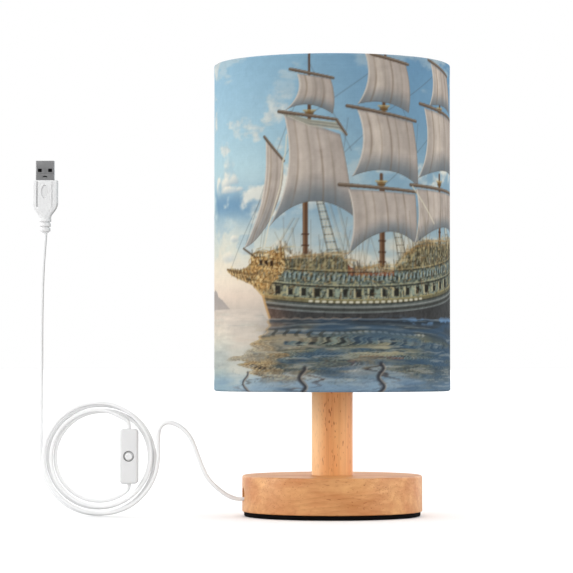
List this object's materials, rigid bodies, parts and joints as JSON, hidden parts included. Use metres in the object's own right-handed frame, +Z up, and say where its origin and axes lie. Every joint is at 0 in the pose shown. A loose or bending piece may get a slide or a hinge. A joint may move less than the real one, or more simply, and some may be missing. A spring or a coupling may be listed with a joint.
{
  "type": "table lamp",
  "caption": "Small USB bedside lamp: wooden disc base and round post, tall fabric drum shade on a wire spider, screw-in bulb, white cable with in-line push switch.",
  "frame": {"origin": "on the lamp's axis at the underside of the base pad, which stands on the table", "axes": "+Z up along the post and the shade; -Y towards the front of the lamp, the side the switch's button faces; the cable leaves the base towards -X"},
  "size_m": [0.2696, 0.1526, 0.2908],
  "materials": {
    "beech": "clear satin, straight grain",
    "black_foam": "matt",
    "steel": "zinc plated",
    "cable_white": "satin",
    "black_plastic": "matt",
    "holder_white": "satin",
    "porcelain": "gloss",
    "brass": "stamped",
    "wire_red": "gloss",
    "shade_fabric": "printed plain weave",
    "shade_liner": "matt",
    "frame_wire": "powder coated",
    "bulb_white": "satin",
    "bulb_frost": "frosted",
    "board": "satin",
    "switch_white": "satin",
    "button_white": "satin",
    "usb_steel": "nickel plated",
    "gold_contact": "gold plated"
  },
  "bodies": {
    "lamp_stand": {"base_disc": "beech", "base_pad": "black_foam", "base_washer": "steel", "base_nut": "steel", "threaded_tube": "steel", "post": "beech", "cable_lamp_inner": "cable_white", "cable_tie": "black_plastic", "lampholder_cap": "holder_white", "lampholder_skirt": "holder_white", "socket_core": "porcelain", "socket_shell": "brass", "socket_shell_seat": "brass", "socket_centre_contact": "brass", "terminal_screw_left": "brass", "terminal_screw_right": "brass", "wire_live": "wire_red", "wire_return": "black_plastic"},
    "shade_ring": {"shade_ring": "holder_white"},
    "shade": {"shade_fabric": "shade_fabric", "shade_liner": "shade_liner", "shade_top_wire": "frame_wire", "shade_bottom_wire": "frame_wire", "spider_collar": "frame_wire", "spider_arm_1": "frame_wire", "spider_arm_2": "frame_wire", "spider_arm_3": "frame_wire"},
    "bulb_tip": {"bulb_tip_contact": "brass"},
    "bulb": {"bulb_cap_insulator": "black_plastic", "bulb_cap_shell": "steel", "bulb_driver_board": "board", "bulb_housing": "bulb_white", "bulb_led_board": "board", "bulb_diffuser": "bulb_frost"},
    "cord": {"cable_lamp_side": "cable_white", "cable_plug_side": "cable_white", "switch_case_front": "switch_white", "switch_case_rear": "switch_white", "switch_module": "black_plastic", "switch_board": "board", "switch_screw_lower": "steel", "switch_screw_upper": "steel"},
    "button": {"switch_button": "button_white"},
    "plug": {"cable_plug_lead": "cable_white", "usb_grip": "cable_white", "usb_shell": "usb_steel", "usb_tongue": "black_plastic", "usb_contact_1": "gold_contact", "usb_contact_2": "gold_contact", "usb_contact_3": "gold_contact", "usb_contact_4": "gold_contact"}
  },
  "joints": [
    {"name": "shade_lift", "type": "slide", "parent": "lamp_stand", "child": "shade_ring", "axis": [0, 0, 1], "range_m": [0, 0.15]},
    {"name": "shade_turn", "type": "hinge", "parent": "shade_ring", "child": "shade", "pos_m": [0, 0, 0.1283], "axis": [0, 0, 1], "continuous": true},
    {"name": "bulb_turn", "type": "hinge", "parent": "bulb_tip", "child": "bulb", "pos_m": [0, 0, 0.136], "axis": [0, 0, 1], "range_deg": [0, 1440]},
    {"name": "bulb_lift", "type": "slide", "parent": "lamp_stand", "child": "bulb_tip", "axis": [0, 0, 1], "range_m": [0, 0.01452]},
    {"name": "cord_swing", "type": "hinge", "parent": "lamp_stand", "child": "cord", "pos_m": [-0.05865, -0.0103, 0.0111], "axis": [1, 0, 0], "range_deg": [-90, 90]},
    {"name": "plug_swing", "type": "hinge", "parent": "cord", "child": "plug", "pos_m": [-0.1875, -0.009, 0.08], "axis": [0, 1, 0], "range_deg": [-30, 30]},
    {"name": "button_press", "type": "slide", "parent": "cord", "child": "button", "axis": [0, 1, 0], "range_m": [0, 0.0012], "stiffness_N_per_m": 900, "springref_m": -0.0006}
  ],
  "couplings": [
    {"joint": "bulb_lift", "follows": "bulb_turn", "m_per_rad": 0.00057757}
  ]
}
